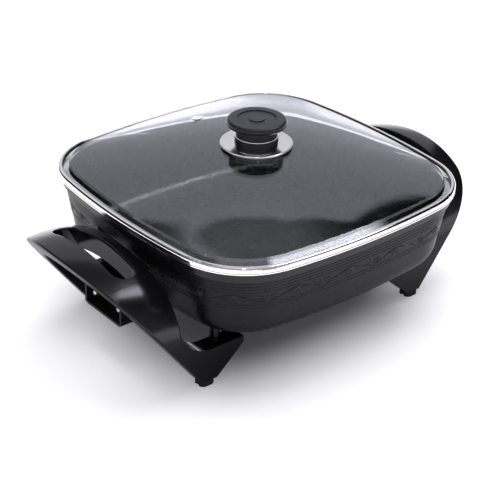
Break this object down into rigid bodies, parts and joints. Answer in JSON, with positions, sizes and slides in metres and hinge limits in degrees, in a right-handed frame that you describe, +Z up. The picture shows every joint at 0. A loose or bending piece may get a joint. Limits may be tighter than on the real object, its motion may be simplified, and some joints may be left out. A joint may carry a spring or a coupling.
{
  "type": "electric skillet",
  "caption": "Square electric skillet with a lift-off domed glass lid, round knob, arched black handles that run down into legs, and a socket for a plug-in heat control.",
  "frame": {"origin": "on the table under the middle of the pan, level with the soles of the feet", "axes": "+X along the handles away from the socket, +Y to the back, +Z up"},
  "size_m": [0.423, 0.306, 0.1847],
  "materials": {
    "nonstick_aluminium": "dark non-stick coat, slightly glossy, on cast aluminium",
    "sheath_steel": "dull drawn steel",
    "brass_contact": "plain brass",
    "socket_plastic": "satin moulded",
    "screw_steel": "zinc plated",
    "pin_metal": "nickel plated",
    "insulator_ceramic": "plain steatite",
    "handle_black": "glossy moulded phenolic",
    "cover_black": "satin moulded phenolic",
    "foot_rubber": "matt moulded rubber",
    "lid_glass": "clear tempered glass",
    "rim_steel": "polished stainless steel",
    "flange_steel": "polished stainless steel",
    "knob_black": "satin moulded phenolic",
    "cap_black": "fine turned texture",
    "insert_brass": "plain brass",
    "washer_silicone": "translucent silicone"
  },
  "bodies": {
    "base": {"pan": "nonstick_aluminium", "heating_element": "sheath_steel", "probe_tube": "sheath_steel", "earth_tab": "brass_contact", "socket_housing": "socket_plastic", "housing_screws": "screw_steel", "terminal_pin_back": "pin_metal", "terminal_pin_front": "pin_metal", "insulator_back": "insulator_ceramic", "insulator_front": "insulator_ceramic", "left_handle": "handle_black", "right_handle": "handle_black", "left_grip_cover": "cover_black", "right_grip_cover": "cover_black", "leg_screws": "screw_steel", "foot_front_left": "foot_rubber", "foot_front_right": "foot_rubber", "foot_back_left": "foot_rubber", "foot_back_right": "foot_rubber"},
    "lid": {"lid_glass": "lid_glass", "lid_rim": "rim_steel", "vent_grommet": "rim_steel", "knob_flange": "flange_steel", "knob_grip": "knob_black", "knob_cap": "cap_black", "knob_insert": "insert_brass", "knob_screw": "screw_steel", "knob_washer": "washer_silicone"}
  },
  "joints": [
    {"name": "lid_lift", "type": "slide", "parent": "base", "child": "lid", "axis": [0, 0, 1], "range_m": [0, 0.15]}
  ]
}
